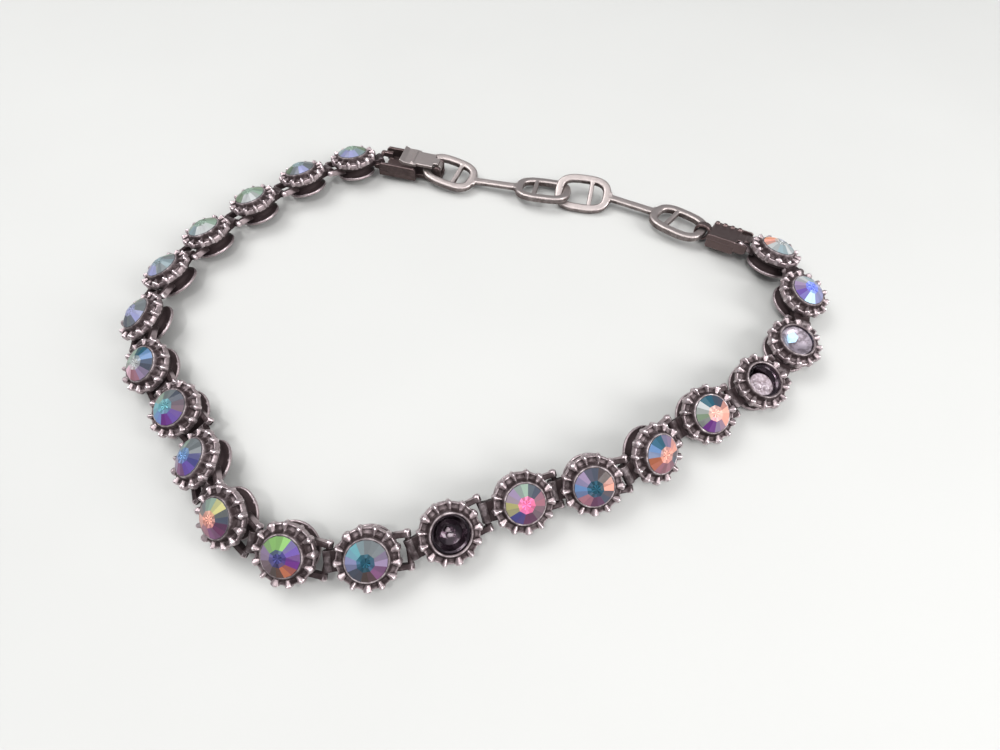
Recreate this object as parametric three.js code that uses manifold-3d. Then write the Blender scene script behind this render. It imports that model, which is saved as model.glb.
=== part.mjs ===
// A rhinestone line bracelet lying closed on a table: twenty-one round cast settings hinged in a row,
// a fold-over clasp at one end and two flat extender links between the clasp and the end loop.
// Units are millimetres, +Z is up, and the origin is the middle of the foot of the bracelet's box.

import * as THREE from 'three';
import { mergeVertices } from 'three/addons/utils/BufferGeometryUtils.js';
import Module from 'manifold-3d';

const wasm = await Module();
wasm.setup();

// Driving sizes of one setting. Its face is at height 0 and its back at -SETTING_DEPTH.
const PITCH = 7.6;
const SETTING_DEPTH = 3.2;
const TOOTH_COUNT = 13;
const TOOTH_TIP_RADIUS = 3.2;
const TOOTH_ROOT_RADIUS = 2.72;
const TOOTH_FILL = 0.56;
const CROWN_TOP = -0.4;
const CROWN_FOOT = -1.0;
const COLLAR_RADIUS = 2.12;
const CUP_MOUTH_RADIUS = 1.87;
const CUP_DEPTH = 2.9;
const NECK_RADIUS = 2.0;
const BACK_RADIUS = 2.7;

// Stone: eight crown facets round a table, over a pointed back.
const STONE_SIDES = 8;
const STONE_RADIUS = 1.68;
const STONE_TABLE_RADIUS = 1.0;
const STONE_TABLE_HEIGHT = 0.62;
const STONE_GIRDLE_TOP = -0.06;
const STONE_GIRDLE_FOOT = -0.16;
const STONE_POINT = -1.55;

// Hinge between two settings: a pin in two lugs, through a slotted tongue.
const HINGE_REACH = PITCH / 2;
const HINGE_DEPTH = 1.8;
const PIN_RADIUS = 0.17;
const PIN_LENGTH = 3.2;
const PIN_SIDES = 5;
const LUG_SPREAD = 1.55;
const LUG_WIDTH = 0.55;
const LUG_HEIGHT = 0.84;
const LUG_ROOT = 1.9;
const LUG_END = 0.34;
const TONGUE_WIDTH = 0.9;
const TONGUE_HEIGHT = 1.24;
const TONGUE_END = 1.01;
const TONGUE_CORNER = 0.28;
const SLOT_LENGTH = 1.66;
const SLOT_HEIGHT = 0.86;

// Extender links: an oval ring with one rung at each end of a straight bar.
const RING_LENGTH = 7.9;
const RING_WIDTH = 5.6;
const RING_RAIL = 0.85;
const RING_THICKNESS = 0.6;
const RING_SQUARENESS = 3;
const RING_SIDES = 16;
const RUNG_WIDTH = 0.7;
const RUNG_OFFSET = 1.1;
const BAR_WIDTH = 1.3;
const BAR_THICKNESS = 0.7;

// Fold-over clasp, measured from the pin that holds it to the first setting.
const CLASP_WIDTH = 4.4;
const CLASP_START = 1.0;
const CLASP_BOX_END = 5.9;
const CLASP_NOSE_END = 9.5;
const CLASP_NOSE_WIDTH = 2.5;
const CLASP_FLOOR = -1.0;
const CLASP_PLATE = 0.6;
const CLASP_CHEEK = 0.45;
const CLASP_CHEEK_START = 0.45;
const CLASP_CHEEK_TOP = 0.95;
const LEVER_PIN_X = 8.85;
const LEVER_PIN_Z = 0.7;
const LEVER_PIN_RADIUS = 0.22;
const LEVER_PIN_SIDES = 8;
const LEVER_BARREL_RADIUS = 0.58;
const LEVER_BARREL_HOLE = 0.32;
const LEVER_BARREL_WIDTH = 1.4;
const LEVER_WIDTH = 3.5;
const LEVER_NECK_WIDTH = 3.0;
const LEVER_UNDERSIDE = 1.1;
const LEVER_THICKNESS = 0.45;
const LEVER_TIP_X = 3.5;
const LEVER_LIP_HEIGHT = 0.35;

// End loop, measured from the pin of the last setting.
const END_BODY_START = 1.05;
const END_BODY_END = 4.9;
const END_BODY_WIDTH = 4.2;
const END_BODY_FOOT = -1.4;
const END_BODY_TOP = 0.45;
const END_BODY_SEAM = -0.35;
const END_BODY_STEP = 0.2;
const END_LOOP_WIDTH = 1.5;
const END_LOOP_CENTRE = 5.9;
const END_LOOP_HOLE = 1.4;
const END_LOOP_WALL = 0.4;
const END_LOOP_LEVEL = -0.4;

// How each setting lies, in order from the clasp: the compass bearing that its face turns to, how steeply
// the face tips up from the table, how far its line of travel climbs, the slack in the hinge before it,
// and whether it still holds its stone.
const SETTINGS = [
  [103, 75, 5, 0.0, true],
  [125, 73, 1, 0.1, true],
  [140, 75, -4, 0.3, true],
  [141, 74, 5, 0.2, true],
  [158, 68, 6, 0.0, true],
  [184, 61, 3, 0.0, true],
  [219, 63, -6, -0.1, true],
  [225, 68, 0, -0.2, true],
  [194, 60, 9, 0.0, true],
  [227, 51, 0, -0.2, true],
  [256, 54, -1, 0.1, true],
  [277, 55, 0, 0.2, true],
  [296, 55, 1, 0.3, false],
  [290, 55, -2, 0.2, true],
  [276, 49, 6, -0.3, true],
  [315, 46, -5, -0.1, true],
  [301, 61, -3, 0.3, true],
  [314, 72, -12, 0.3, false],
  [328, 80, -1, 0.1, false],
  [338, 73, 12, 0.2, true],
  [404, 70, -5, 0.0, true],
].map(([bearing, tilt, climb, slack, stone]) => ({ bearing, tilt, climb, slack, stone }));

// Where the four rings of the two links lie: middle, the bearing they point along, how far the near side
// is rolled down and how far the leading end drops.
const RINGS = [
  [-6.8, 73.8, 1.55, -24, 6, 6],
  [6.5, 69.9, 1.38, -12, -11, 0],
  [12.1, 69.05, 1.42, -13, 22, 0],
  [24.6, 63.0, 1.4, -40, -5, -3],
].map(([x, y, z, bearing, roll, drop]) => ({ x, y, z, bearing, roll, drop }));

const CLASP_LIE = { bearing: -13, roll: -4, drop: 4 };
const END_LIE = { bearing: 150, roll: 15, drop: 2 };

const START = new THREE.Vector2(-20.87, 75.85);

const silver = { color: 0x8f8a83, roughness: 0.38, metalness: 0.9 };
const darkSilver = { color: 0x6b6660, roughness: 0.45, metalness: 0.9 };
const crystal = { color: 0xdfe4ee, roughness: 0.08, metalness: 0.1 };

const degrees = THREE.MathUtils.degToRad;

function toSolid(geometry) {
  const bare = new THREE.BufferGeometry();
  bare.setAttribute('position', geometry.getAttribute('position').clone());
  if (geometry.index) bare.setIndex(geometry.index.clone());
  const merged = mergeVertices(bare, 1e-4);
  return new wasm.Manifold(new wasm.Mesh({
    numProp: 3,
    vertProperties: new Float32Array(merged.getAttribute('position').array),
    triVerts: new Uint32Array(merged.index.array),
  }));
}

function toGeometry(solid) {
  const { vertProperties, triVerts } = solid.getMesh();
  const geometry = new THREE.BufferGeometry();
  geometry.setAttribute('position', new THREE.BufferAttribute(vertProperties, 3));
  geometry.setIndex(new THREE.BufferAttribute(triVerts, 1));
  geometry.computeVertexNormals();
  return geometry;
}

function join(geometries) {
  return geometries.map(toSolid).reduce((whole, next) => whole.add(next));
}

function block(x0, x1, width, z0, z1, y = 0) {
  return new THREE.BoxGeometry(x1 - x0, width, z1 - z0).translate((x0 + x1) / 2, y, (z0 + z1) / 2);
}

function crossPin(x, z, radius, length, sides) {
  return new THREE.CylinderGeometry(radius, radius, length, sides).translate(x, 0, z);
}

// A profile drawn in the X-Z plane and given a width across the bracelet.
function sidePlate(outline, holes, width) {
  const shape = new THREE.Shape(outline.map(([x, z]) => new THREE.Vector2(x, z)));
  shape.holes = holes.map((hole) => new THREE.Path(hole.map(([x, z]) => new THREE.Vector2(x, z))));
  const plate = new THREE.ExtrudeGeometry(shape, { depth: width, bevelEnabled: false });
  return plate.rotateX(Math.PI / 2).translate(0, width / 2, 0);
}

function rectangle(x0, x1, z0, z1) {
  return [[x0, z0], [x1, z0], [x1, z1], [x0, z1]];
}

function turned(profile, sides) {
  const points = profile.map(([radius, height]) => new THREE.Vector2(radius, height));
  return new THREE.LatheGeometry(points, sides, Math.PI / sides).rotateX(Math.PI / 2);
}

// Two lugs and their pin, with the pin at (x, level); the lugs run back from it to root.
function luggedPin(x, level, root) {
  const reach = x + LUG_END * Math.sign(x - root);
  const [from, to] = [Math.min(root, reach), Math.max(root, reach)];
  const half = LUG_HEIGHT / 2;
  const lugs = [-LUG_SPREAD, LUG_SPREAD].map(
    (y) => block(from, to, LUG_WIDTH, level - half, level + half, y),
  );
  return [...lugs, crossPin(x, level, PIN_RADIUS, PIN_LENGTH, PIN_SIDES)];
}

// A tongue running back from root, with a slot round a pin at (x, level).
function slottedTongue(x, level, root) {
  const end = x - TONGUE_END;
  const half = TONGUE_HEIGHT / 2;
  const outline = [
    [root, level - half], [root, level + half],
    [end + TONGUE_CORNER, level + half], [end, level + half - TONGUE_CORNER],
    [end, level - half + TONGUE_CORNER], [end + TONGUE_CORNER, level - half],
  ];
  const slot = rectangle(
    x - SLOT_LENGTH / 2, x + SLOT_LENGTH / 2, level - SLOT_HEIGHT / 2, level + SLOT_HEIGHT / 2,
  );
  return sidePlate(outline, [slot], TONGUE_WIDTH);
}

// The toothed crown: a flat ring of teeth standing out from the setting.
function crownTeeth() {
  const step = (2 * Math.PI) / TOOTH_COUNT;
  const outline = [];
  for (let tooth = 0; tooth < TOOTH_COUNT; tooth += 1) {
    const middle = (tooth + 0.5) * step;
    const half = (step * TOOTH_FILL) / 2;
    for (const [angle, radius] of [
      [-half, TOOTH_ROOT_RADIUS], [-half * 0.62, TOOTH_TIP_RADIUS],
      [half * 0.62, TOOTH_TIP_RADIUS], [half, TOOTH_ROOT_RADIUS],
    ]) {
      const [x, y] = [Math.cos(middle + angle), Math.sin(middle + angle)];
      outline.push(new THREE.Vector2(x * radius, y * radius));
    }
  }
  const options = { depth: CROWN_TOP - CROWN_FOOT, bevelEnabled: false };
  return new THREE.ExtrudeGeometry(new THREE.Shape(outline), options).translate(0, 0, CROWN_FOOT);
}

function settingSolid() {
  const cup = turned([
    [0, -SETTING_DEPTH], [BACK_RADIUS, -SETTING_DEPTH], [NECK_RADIUS, CROWN_FOOT],
    [COLLAR_RADIUS, (CROWN_FOOT + CROWN_TOP) / 2], [COLLAR_RADIUS, 0], [0, 0],
  ], TOOTH_COUNT);
  const hollow = turned([
    [0, -CUP_DEPTH], [CUP_MOUTH_RADIUS, 0], [CUP_MOUTH_RADIUS, 1], [0, 1],
  ], TOOTH_COUNT);
  const metal = join([
    cup,
    crownTeeth(),
    ...luggedPin(HINGE_REACH, -HINGE_DEPTH, LUG_ROOT),
    slottedTongue(-HINGE_REACH, -HINGE_DEPTH, -LUG_ROOT),
  ]);
  return metal.subtract(toSolid(hollow));
}

function stoneSolid() {
  return toSolid(turned([
    [0, STONE_POINT], [STONE_RADIUS, STONE_GIRDLE_FOOT], [STONE_RADIUS, STONE_GIRDLE_TOP],
    [STONE_TABLE_RADIUS, STONE_TABLE_HEIGHT], [0, STONE_TABLE_HEIGHT],
  ], STONE_SIDES));
}

// A flat oval a little squarer than an ellipse.
function oval(length, width) {
  const points = Array.from({ length: RING_SIDES }, (_, side) => {
    const angle = ((side + 0.5) * 2 * Math.PI) / RING_SIDES;
    const [across, along] = [Math.sin(angle), Math.cos(angle)].map(
      (value) => Math.sign(value) * Math.abs(value) ** (2 / RING_SQUARENESS),
    );
    return new THREE.Vector2((along * length) / 2, (across * width) / 2);
  });
  const options = { depth: RING_THICKNESS, bevelEnabled: false };
  const plate = new THREE.ExtrudeGeometry(new THREE.Shape(points), options);
  return toSolid(plate.translate(0, 0, -RING_THICKNESS / 2));
}

// One oval ring with its rung; neckSide is +1 where the bar leaves it forwards and -1 backwards.
function ringSolid(neckSide) {
  const opening = oval(RING_LENGTH - 2 * RING_RAIL, RING_WIDTH - 2 * RING_RAIL);
  const rungAt = neckSide * RUNG_OFFSET;
  const rung = toSolid(block(
    rungAt - RUNG_WIDTH / 2, rungAt + RUNG_WIDTH / 2, RING_WIDTH - RING_RAIL,
    -RING_THICKNESS / 2, RING_THICKNESS / 2,
  ));
  return oval(RING_LENGTH, RING_WIDTH).subtract(opening).add(rung);
}

function lieMatrix(position, { bearing, roll, drop }) {
  const matrix = new THREE.Matrix4().makeRotationZ(degrees(bearing));
  matrix.multiply(new THREE.Matrix4().makeRotationY(degrees(drop)));
  matrix.multiply(new THREE.Matrix4().makeRotationX(degrees(roll)));
  return matrix.setPosition(position);
}

function barBetween(start, end) {
  const along = end.clone().sub(start);
  const bar = new THREE.BoxGeometry(along.length(), BAR_WIDTH, BAR_THICKNESS);
  const heading = Math.atan2(along.y, along.x);
  bar.rotateY(-Math.asin(along.z / along.length()));
  bar.rotateZ(heading);
  return bar.translate(...start.clone().add(end).multiplyScalar(0.5).toArray());
}

// A link lies across the table as bent by wear, so its solid is made where it lies.
function linkSolid(...rings) {
  const matrices = rings.map((ring) => lieMatrix(new THREE.Vector3(ring.x, ring.y, ring.z), ring));
  const neck = (RING_LENGTH - RING_RAIL) / 2;
  const bar = barBetween(
    new THREE.Vector3(neck, 0, 0).applyMatrix4(matrices[0]),
    new THREE.Vector3(-neck, 0, 0).applyMatrix4(matrices[1]),
  );
  return ringSolid(1).transform(matrices[0].elements)
    .add(ringSolid(-1).transform(matrices[1].elements))
    .add(toSolid(bar));
}

function claspBaseSolid() {
  const plateTop = CLASP_FLOOR + CLASP_PLATE;
  const cheekAt = (CLASP_WIDTH - CLASP_CHEEK) / 2;
  const earWidth = (CLASP_NOSE_WIDTH - LEVER_BARREL_WIDTH) / 2 - 0.1;
  const earAt = (CLASP_NOSE_WIDTH - earWidth) / 2;
  const earStart = LEVER_PIN_X - LEVER_BARREL_RADIUS * 0.5;
  const earTop = LEVER_PIN_Z + LEVER_BARREL_RADIUS * 0.7;
  return join([
    block(CLASP_START, CLASP_BOX_END, CLASP_WIDTH, CLASP_FLOOR, plateTop),
    block(CLASP_BOX_END - CLASP_CHEEK, CLASP_NOSE_END, CLASP_NOSE_WIDTH, CLASP_FLOOR, plateTop),
    ...[-1, 1].map((side) => block(
      CLASP_CHEEK_START, CLASP_BOX_END, CLASP_CHEEK, CLASP_FLOOR, CLASP_CHEEK_TOP, side * cheekAt,
    )),
    ...[-1, 1].map((side) => block(earStart, CLASP_NOSE_END, earWidth, CLASP_FLOOR, earTop, side * earAt)),
    crossPin(LEVER_PIN_X, LEVER_PIN_Z, LEVER_PIN_RADIUS, CLASP_NOSE_WIDTH, LEVER_PIN_SIDES),
    ...luggedPin(0, 0, CLASP_START + CLASP_CHEEK),
  ]);
}

function leverSolid() {
  const top = LEVER_UNDERSIDE + LEVER_THICKNESS;
  const [barrel, bore] = [
    [LEVER_BARREL_RADIUS, LEVER_BARREL_WIDTH], [LEVER_BARREL_HOLE, LEVER_BARREL_WIDTH * 2],
  ].map(([radius, width]) => crossPin(LEVER_PIN_X, LEVER_PIN_Z, radius, width, LEVER_PIN_SIDES));
  const leaf = sidePlate([
    [LEVER_PIN_X + LEVER_BARREL_RADIUS * 0.6, LEVER_PIN_Z + LEVER_BARREL_RADIUS * 0.6],
    [LEVER_PIN_X, top],
    [CLASP_BOX_END - 0.4, top],
    [CLASP_BOX_END - 0.4, LEVER_UNDERSIDE],
    [LEVER_PIN_X - LEVER_BARREL_RADIUS, LEVER_UNDERSIDE],
  ], [], LEVER_BARREL_WIDTH);
  const neckEnd = LEVER_PIN_X - LEVER_BARREL_RADIUS;
  const neck = block(CLASP_BOX_END - 0.6, neckEnd, LEVER_NECK_WIDTH, LEVER_UNDERSIDE, top);
  const flap = sidePlate([
    [CLASP_BOX_END, LEVER_UNDERSIDE], [CLASP_BOX_END, top],
    [LEVER_TIP_X + 0.7, top], [LEVER_TIP_X, top + LEVER_LIP_HEIGHT],
    [LEVER_TIP_X - 0.1, top], [LEVER_TIP_X + 0.3, LEVER_UNDERSIDE],
  ], [], LEVER_WIDTH);
  return join([barrel, leaf, neck, flap]).subtract(toSolid(bore));
}

function endLoopSolid() {
  const half = END_LOOP_HOLE / 2;
  const wall = END_LOOP_WALL;
  const outline = rectangle(
    END_BODY_END - wall, END_LOOP_CENTRE + half + wall,
    END_LOOP_LEVEL - half - wall, END_LOOP_LEVEL + half + wall,
  );
  const hole = rectangle(
    END_LOOP_CENTRE - half, END_LOOP_CENTRE + half, END_LOOP_LEVEL - half, END_LOOP_LEVEL + half,
  );
  const tongue = slottedTongue(0, 0, END_BODY_START + wall);
  return join([
    tongue,
    block(END_BODY_START, END_BODY_END, END_BODY_WIDTH, END_BODY_SEAM, END_BODY_TOP),
    block(END_BODY_START, END_BODY_END, END_BODY_WIDTH - END_BODY_STEP, END_BODY_FOOT, 0),
    sidePlate(outline, [hole], END_LOOP_WIDTH),
  ]);
}

// The axes of a setting: its line of travel, the pin direction and the way its face looks.
function settingAxes({ bearing, tilt, climb }) {
  const face = new THREE.Vector3(
    Math.cos(degrees(bearing)) * Math.cos(degrees(tilt)),
    Math.sin(degrees(bearing)) * Math.cos(degrees(tilt)),
    Math.sin(degrees(tilt)),
  );
  const level = new THREE.Vector3(-Math.sin(degrees(bearing)), Math.cos(degrees(bearing)), 0);
  const travel = level.applyAxisAngle(face, degrees(climb));
  return { travel, pin: face.clone().cross(travel), face };
}

function hingePoint(place, side) {
  return place.position.clone()
    .addScaledVector(place.axes.face, -HINGE_DEPTH)
    .addScaledVector(place.axes.travel, side * HINGE_REACH);
}

// Walks along the row from hinge to hinge. Each setting stands on the edge of its back.
function settingPlaces() {
  const places = [];
  for (const setting of SETTINGS) {
    const axes = settingAxes(setting);
    const height = SETTING_DEPTH * axes.face.z + BACK_RADIUS * Math.cos(degrees(setting.tilt));
    const position = new THREE.Vector3(START.x, START.y, height);
    const before = places.at(-1);
    if (before) {
      const hinge = hingePoint(before, 1).addScaledVector(before.axes.travel, setting.slack / 2);
      position.copy(hinge)
        .addScaledVector(axes.travel, HINGE_REACH + setting.slack / 2)
        .addScaledVector(axes.face, HINGE_DEPTH)
        .setZ(height);
    }
    places.push({ position, axes });
  }
  return places;
}

function addMesh(parent, name, geometry, finish, matrix = new THREE.Matrix4()) {
  const mesh = new THREE.Mesh(geometry, new THREE.MeshStandardMaterial(finish));
  mesh.name = name;
  mesh.applyMatrix4(matrix);
  parent.add(mesh);
  return mesh;
}

const bracelet = new THREE.Group();
const settingShape = toGeometry(settingSolid());
const stoneShape = toGeometry(stoneSolid());
const places = settingPlaces();

places.forEach(({ position, axes }, index) => {
  const number = String(index + 1).padStart(2, '0');
  const matrix = new THREE.Matrix4().makeBasis(axes.travel, axes.pin, axes.face).setPosition(position);
  addMesh(bracelet, `setting_${number}`, settingShape, silver, matrix);
  if (SETTINGS[index].stone) addMesh(bracelet, `stone_${number}`, stoneShape, crystal, matrix);
});

const claspMatrix = lieMatrix(hingePoint(places[0], -1), CLASP_LIE);
addMesh(bracelet, 'clasp_base', toGeometry(claspBaseSolid()), darkSilver, claspMatrix);
addMesh(bracelet, 'clasp_lever', toGeometry(leverSolid()), silver, claspMatrix);
addMesh(bracelet, 'extender_link_1', toGeometry(linkSolid(RINGS[0], RINGS[1])), silver);
addMesh(bracelet, 'extender_link_2', toGeometry(linkSolid(RINGS[2], RINGS[3])), silver);
const endMatrix = lieMatrix(hingePoint(places.at(-1), 1), END_LIE);
addMesh(bracelet, 'end_loop', toGeometry(endLoopSolid()), darkSilver, endMatrix);

bracelet.updateMatrixWorld(true);
const reach = new THREE.Box3().setFromObject(bracelet, true);
const middle = reach.getCenter(new THREE.Vector3());
bracelet.position.set(-middle.x, -middle.y, -reach.min.z);

const group = new THREE.Group();
group.add(bracelet);

export default group;
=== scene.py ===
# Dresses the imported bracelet: cast settings, coated crystals, fold-over clasp, extender links and end loop.
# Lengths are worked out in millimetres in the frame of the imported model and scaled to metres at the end.

import math
import random
from collections import namedtuple

import bmesh
import bpy
from mathutils import Matrix, Vector
from mathutils.bvhtree import BVHTree


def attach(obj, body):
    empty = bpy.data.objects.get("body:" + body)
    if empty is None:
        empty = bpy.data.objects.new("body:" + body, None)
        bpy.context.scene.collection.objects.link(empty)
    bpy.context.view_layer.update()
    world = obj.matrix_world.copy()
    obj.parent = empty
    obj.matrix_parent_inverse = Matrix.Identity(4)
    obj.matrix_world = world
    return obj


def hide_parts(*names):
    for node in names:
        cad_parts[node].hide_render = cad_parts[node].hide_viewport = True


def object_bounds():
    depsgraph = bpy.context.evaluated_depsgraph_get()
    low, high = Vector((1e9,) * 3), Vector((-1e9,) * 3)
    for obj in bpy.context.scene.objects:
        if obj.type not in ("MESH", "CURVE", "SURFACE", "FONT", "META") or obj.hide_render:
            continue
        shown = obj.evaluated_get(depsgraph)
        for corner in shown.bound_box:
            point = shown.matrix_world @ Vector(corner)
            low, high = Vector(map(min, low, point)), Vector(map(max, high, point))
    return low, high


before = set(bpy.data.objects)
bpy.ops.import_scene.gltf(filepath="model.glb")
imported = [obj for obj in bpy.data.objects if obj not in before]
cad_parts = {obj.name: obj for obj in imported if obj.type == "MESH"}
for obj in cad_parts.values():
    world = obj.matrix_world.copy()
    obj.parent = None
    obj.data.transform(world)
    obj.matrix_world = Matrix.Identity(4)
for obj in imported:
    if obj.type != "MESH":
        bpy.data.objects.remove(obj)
CAD_LOW, CAD_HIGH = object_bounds()
MM = 0.001

# Sizes of one setting, as in the solids.
SETTING_DEPTH = 3.2
BACK_RADIUS = 2.7
HINGE_DEPTH = 1.8
HINGE_REACH = 3.8
TOOTH_COUNT = 13
CROWN_RADIUS = 3.2

# The cup and its stone, which is cut a little wider here than its solid.
CUP_RADIUS = 1.9
STONE_RADIUS = 1.98
TABLE_RADIUS = 0.88
TABLE_HEIGHT = 0.58
GIRDLE_TOP = 0.04
GIRDLE_FOOT = -0.1
STONE_POINT = -1.5
FACET_TURN = 45
# Light factors paint light and shade into the stone's colours: crown strips and table triangles are lighter
# and darker copies of a tone, painted reflections, and SHADED darkens the girdle and back as painted shade.
STRIP_LIGHTS = (1.0, 0.95)
GIRDLE_TINT = (0.5, 0.5, 0.52)
BACK_TINT = (0.4, 0.38, 0.34)
SHADED = 0.8

# Hinge of one setting, across the bracelet: the ears and the pin heads from its middle, and the widths.
LUG_SPREAD = 1.55
LUG_WIDTH = 0.55
TONGUE_WIDTH = 2.1
PIN_HEAD_SPREAD = 1.84

# From the axes that the bracelet is laid out in to the middle of its box.
SHIFT = Vector((2.693, -46.568, 0))

# Where the first setting stands, and how the clasp and the end loop lie.
START = SHIFT + Vector((-20.87, 75.85, 0))
CLASP_LIE = (-13, -4, 4)
END_LIE = (150, 15, 2)

# How each setting lies, in order from the clasp, and the colours of its stone: the table, then the eight
# facets round it, anticlockwise from the side that faces the next setting.
Setting = namedtuple("Setting", "bearing tilt climb slack table facets")
SETTINGS = [
    Setting(103, 75, 5, 0.0, "mint", "ice lavender lavender ice moss moss mint mint"),
    Setting(125, 73, 1, 0.1, "ice", "moss grey lavender grey grey mint mint moss"),
    Setting(140, 75, -4, 0.3, "mint", "moss white white mint moss moss mint moss"),
    Setting(141, 74, 5, 0.2, "mint", "ice white white mint moss moss moss mint"),
    Setting(158, 68, 6, 0.0, "ice", "lavender grey ice grey mint ice ice lavender"),
    Setting(184, 61, 3, 0.0, "lavender", "grey lavender grey grey moss ice grey slate"),
    Setting(219, 63, -6, -0.1, "white", "lilac slate sky teal mint mint blush rose"),
    Setting(225, 68, 0, -0.2, "aqua", "violet dusk slate grey mint aqua sky purple"),
    Setting(194, 60, 9, 0.0, "sky", "violet indigo grey grey mint sky lilac orchid"),
    Setting(227, 51, 0, -0.2, "peach", "plum slate straw mint grey peach rose orchid"),
    Setting(256, 54, -1, 0.1, "indigo", "purple violet lime lime lilac dusk brown rust"),
    Setting(277, 55, 0, 0.2, "teal", "lilac grey grey aqua lavender slate brown orchid"),
    Setting(296, 55, 1, 0.3, "", ""),
    Setting(290, 55, -2, 0.2, "pink", "rose slate mint lilac straw indigo plum dusk"),
    Setting(276, 49, 6, -0.3, "teal", "peach brown slate lilac sky rose plum slate"),
    Setting(315, 46, -5, -0.1, "peach", "peach lilac teal sky rust rose rose slate"),
    Setting(301, 61, -3, 0.3, "peach", "peach slate teal white moss purple lilac peach"),
    Setting(314, 72, -12, 0.3, "", ""),
    Setting(328, 80, -1, 0.1, "", ""),
    # Setting 20's blue-white facet, the fifth, is a painted glint.
    Setting(338, 73, 12, 0.2, "blue", "ice white lilac violet glow lavender lavender lavender"),
    # Setting 21's orange facet, the first, is a painted glint.
    Setting(404, 70, -5, 0.0, "white", "amber peach white ice white ice lavender lavender"),
]

# Colours that the coating shows, and two painted glints: a blue-white one and an orange one.
TINTS = {
    "white": (0.61, 0.62, 0.62), "ice": (0.46, 0.52, 0.54), "mint": (0.47, 0.54, 0.49),
    "moss": (0.39, 0.45, 0.37), "lime": (0.48, 0.64, 0.38), "aqua": (0.36, 0.55, 0.58),
    "sky": (0.38, 0.50, 0.66), "blue": (0.42, 0.48, 0.88), "glow": (0.74, 0.90, 1.00),
    "lavender": (0.50, 0.51, 0.65), "lilac": (0.50, 0.44, 0.54), "grey": (0.38, 0.40, 0.41),
    "slate": (0.25, 0.27, 0.32), "teal": (0.12, 0.27, 0.33), "indigo": (0.24, 0.24, 0.42),
    "violet": (0.36, 0.28, 0.54), "purple": (0.35, 0.18, 0.42), "plum": (0.35, 0.21, 0.31),
    "orchid": (0.44, 0.29, 0.42), "pink": (0.90, 0.36, 0.56), "blush": (0.78, 0.63, 0.69),
    "rose": (0.54, 0.37, 0.41), "dusk": (0.39, 0.33, 0.36), "peach": (0.80, 0.56, 0.50),
    "straw": (0.64, 0.62, 0.42), "brown": (0.25, 0.20, 0.19), "rust": (0.58, 0.34, 0.25),
    "amber": (0.90, 0.53, 0.33),
}

# Where the four rings of the two links lie: middle, bearing, roll and drop.
Ring = namedtuple("Ring", "x y z bearing roll drop")
RINGS = [
    Ring(-6.8, 73.8, 1.55, -24, 6, 6),
    Ring(6.5, 69.9, 1.38, -12, -11, 0),
    Ring(12.1, 69.05, 1.42, -13, 22, 0),
    Ring(24.6, 63.0, 1.4, -40, -5, -3),
]
RING_LENGTH = 7.9
RING_WIDTH = 5.6
RING_RAIL = 1.12
RING_THICKNESS = 0.94
RUNG_OFFSET = 1.1

# Directions in which a spot on the metal feels for its neighbours.
RAY_COUNT = 18
GOLDEN_TURN = 2.399963

# The eye, straight above the origin of the layout's axes: height in millimetres and turns in degrees.
EYE_HEIGHT = 61.379
EYE_DOWN = 57.16
EYE_ROLL = -0.8637
LENS = 22.32
SENSOR_WIDTH = 36


def linear(colour):
    """A screen colour as the light values that shaders work with."""
    return tuple(value / 12.92 if value <= 0.04045 else ((value + 0.055) / 1.055) ** 2.4 for value in colour)


# ---- Shapes ----

def mesh_from(name, points, faces):
    """A mesh with its doubled points merged and its faces turned outwards."""
    mesh = bpy.data.meshes.new(name)
    mesh.from_pydata([tuple(point) for point in points], [], faces)
    mesh.validate()
    shape = bmesh.new()
    shape.from_mesh(mesh)
    bmesh.ops.remove_doubles(shape, verts=shape.verts, dist=1e-5)
    bmesh.ops.recalc_face_normals(shape, faces=shape.faces)
    shape.to_mesh(mesh)
    shape.free()
    return mesh


def turned(name, profile, sides=56):
    """A round shape from (radius, height) pairs that start and end on the axis."""
    points, faces = [], []
    for radius, height in profile:
        for side in range(sides):
            angle = 2 * math.pi * side / sides
            points.append((radius * math.cos(angle), radius * math.sin(angle), height))
    for row in range(len(profile) - 1):
        for side in range(sides):
            after = (side + 1) % sides
            above = (row + 1) * sides
            faces.append((row * sides + side, row * sides + after, above + after, above + side))
    return mesh_from(name, points, faces)


def lofted(name, sections):
    """A closed shape through equal rings of points, capped at both ends."""
    count = len(sections[0])
    points = [point for section in sections for point in section]
    faces = []
    for row in range(len(sections) - 1):
        for side in range(count):
            after = (side + 1) % count
            above = (row + 1) * count
            faces.append((row * count + side, row * count + after, above + after, above + side))
    faces.append(tuple(range(count)))
    faces.append(tuple(range((len(sections) - 1) * count, len(sections) * count)))
    return mesh_from(name, points, faces)


def side_plate(name, outline, width, y=0.0):
    """A flat piece: its outline in X and Z, with a width across the bracelet."""
    return lofted(name, [[(x, y + half, z) for x, z in outline] for half in (-width / 2, width / 2)])


def block(name, x0, x1, width, z0, z1):
    return side_plate(name, [(x0, z0), (x1, z0), (x1, z1), (x0, z1)], width)


def arc(x, z, radius, start, end, steps=10):
    turns = [math.radians(start + (end - start) * step / steps) for step in range(steps + 1)]
    return [(x + radius * math.cos(turn), z + radius * math.sin(turn)) for turn in turns]


def cross_pin(name, x, z, radius, reach, dome=0.12, sides=14):
    """A pin across the bracelet with a low domed head at each end."""
    stations = [(-reach, radius * 0.3), (-reach + dome * 0.35, radius * 0.8), (-reach + dome, radius)]
    stations += [(-y, r) for y, r in reversed(stations)]
    rings = []
    for y, ring_radius in stations:
        turns = [2 * math.pi * side / sides for side in range(sides)]
        rings.append([
            (x + ring_radius * math.cos(turn), y, z + ring_radius * math.sin(turn)) for turn in turns])
    return lofted(name, rings)


def object_from(mesh):
    shape = bpy.data.objects.new(mesh.name, mesh)
    bpy.context.scene.collection.objects.link(shape)
    return shape


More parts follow.
